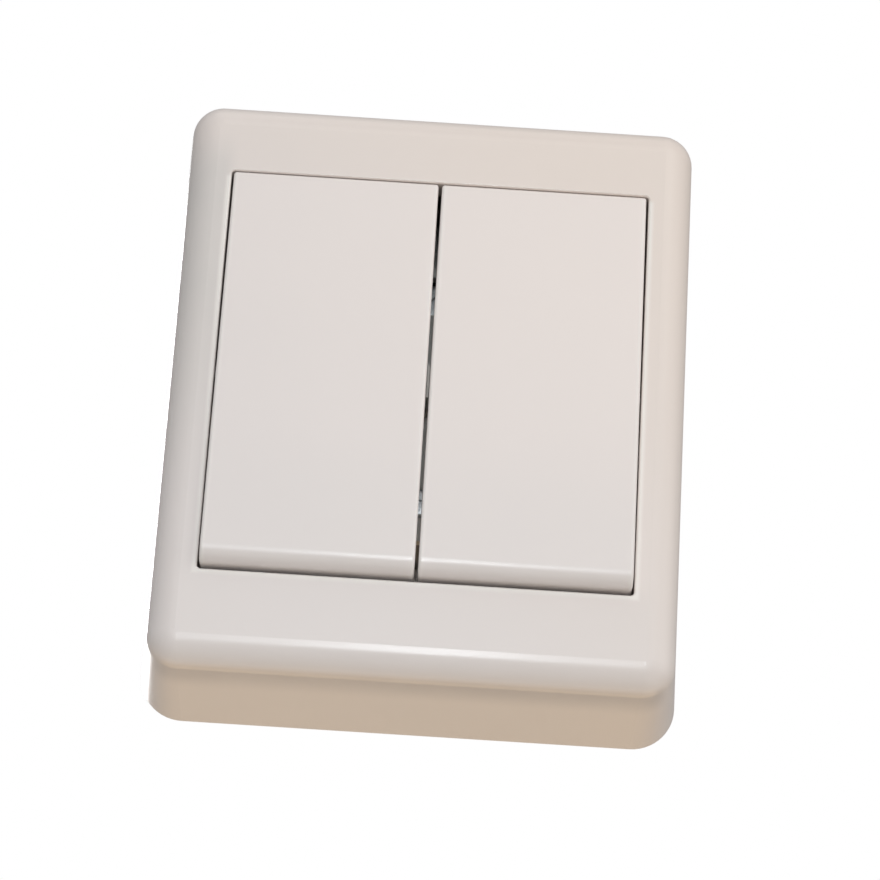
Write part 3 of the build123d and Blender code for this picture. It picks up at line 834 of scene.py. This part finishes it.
# %% Recipe of a screw: the domed and slotted head
head_values = {"Vertices": 48, "Fill Segments": 8, "Radius": head_radius, "Depth": head}
blank = screw_recipe.add("GeometryNodeMeshCylinder", {"fill_type": "TRIANGLE_FAN"}, head_values)
x, y, z = screw_recipe.point()
out = (x * x + y * y).power(0.5) / head_radius
on_top = z.rise(0.0, 0.0001)
dome, rounded_edge = 0.05, 0.09
dropped = (out * out * dome + out.rise(0.84, 1.0) * rounded_edge) * head * on_top
blank = screw_recipe.moved(blank, x, y, z + length + head * 0.5 - dropped)
bar = screw_recipe.vector(head_radius * 2.2, slot, head)
cutter = screw_recipe.add("GeometryNodeMeshCube", {}, {"Size": bar})
lifted = screw_recipe.vector(0.0, 0.0, length + head)
cutter = screw_recipe.add("GeometryNodeTransform", {}, {"Geometry": cutter, "Translation": lifted})
cut = {"operation": "DIFFERENCE", "solver": "EXACT"}
slotted = screw_recipe.add("GeometryNodeMeshBoolean", cut, {"Mesh 1": blank, "Mesh 2": cutter})
joined = screw_recipe.add("GeometryNodeJoinGeometry", {}, {0: [shank, slotted]})
least_spin, greatest_spin, seed = 2, 3, "Seed"
any_angle = {least_spin: 0.0, greatest_spin: math.pi, seed: 7}
spin = screw_recipe.add("FunctionNodeRandomValue", {"data_type": "FLOAT"}, any_angle, 1)
screw_recipe.close(joined, math.pi / 2, spin)

# %% Screws in their holes
slot_width = 0.0008


def put_screws(name, node, places, shank_radius, pitch, head_radius, head):
    """Screws from the tips to the heads' tops of the CAD's screws, which they replace."""
    lowest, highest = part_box(node)
    tip, top = highest[1], lowest[1]
    screws = made(
        screw_recipe,
        name,
        [(x, tip, z) for x, z in places],
        steel_finish,
        Shank_Radius=shank_radius,
        Length=tip - top - head,
        Pitch=pitch,
        Thread=pitch * 0.4,
        Head_Radius=head_radius,
        Head=head,
        Slot=slot_width,
    )
    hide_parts(node)
    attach(screws, "switch_base")


lid_places = [(-0.013, 0.0187), (0.013, 0.0187), (0.0, -0.0163)]
lid_screw = {"shank_radius": 0.001, "pitch": 0.0008, "head_radius": 0.0022, "head": 0.0014}
put_screws("lid_threaded_screws", "lid_screws", lid_places, **lid_screw)

ear_places = [(side * 0.0305, opening_rise + rise * 0.014) for side in (-1, 1) for rise in (-1, 1)]
ear_screw = {"shank_radius": 0.00125, "pitch": 0.001, "head_radius": 0.0028, "head": 0.002}
put_screws("housing_threaded_screws", "housing_screws", ear_places, **ear_screw)

clamp_screw = {"shank_radius": 0.0017, "pitch": 0.0007, "head_radius": 0.0029, "head": 0.0018}
for terminal in ("common", "left", "right"):
    node = f"{terminal}_clamp_screw"
    x_place, _, z_place = middle_of(node)
    put_screws(f"{terminal}_terminal_screw", node, [(x_place, z_place)], **clamp_screw)

# %% [markdown]
# ## Marks of the ejector pins
#
# When the mould opens, pins push the back plate off it, one in each shallow pocket of the back.
# Each leaves a disc with a fine raised rim, a tenth of a millimetre high. Nobody sees them on
# the wall, but anyone who turns the switch over does. A disc lifted towards its rim, put at
# every pocket, is enough; cutting them into the CAD would cost far more and show no more.

# %% Recipe and places of the pin marks
mark_sizes = ["Radius", "Rim"]
mark_recipe = Recipe("pin_mark", mark_sizes)
mark_radius, rim = map(mark_recipe.size, mark_sizes)
disc_values = {"Vertices": 48, "Fill Segments": 10, "Radius": mark_radius, "Depth": rim * 2.0}
disc = mark_recipe.add("GeometryNodeMeshCylinder", {"fill_type": "TRIANGLE_FAN"}, disc_values)
x, y, z = mark_recipe.point()
out = (x * x + y * y).power(0.5) / mark_radius
sunk = out.rise(0.95, 0.8) * z.rise(0.0, 0.00001)
disc = mark_recipe.moved(disc, x, y, z - sunk * rim * 0.8)
mark_recipe.close(disc, -math.pi / 2, 0.0)

pin_radius = 0.0024
pin_rim = 0.00012
pocket_floor = -0.0009
columns = (-0.027, -0.009, 0.009, 0.027)
rows = (-0.036, -0.0205, 0.0205, 0.036)
pockets = [(x, z) for x in columns for z in rows if z != rows[0] or abs(x) > 0.012]
marks = made(
    mark_recipe,
    "ejector_pin_marks",
    [(x, pocket_floor, z) for x, z in pockets],
    base_finish,
    Radius=pin_radius,
    Rim=pin_rim,
)
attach(marks, "switch_base")
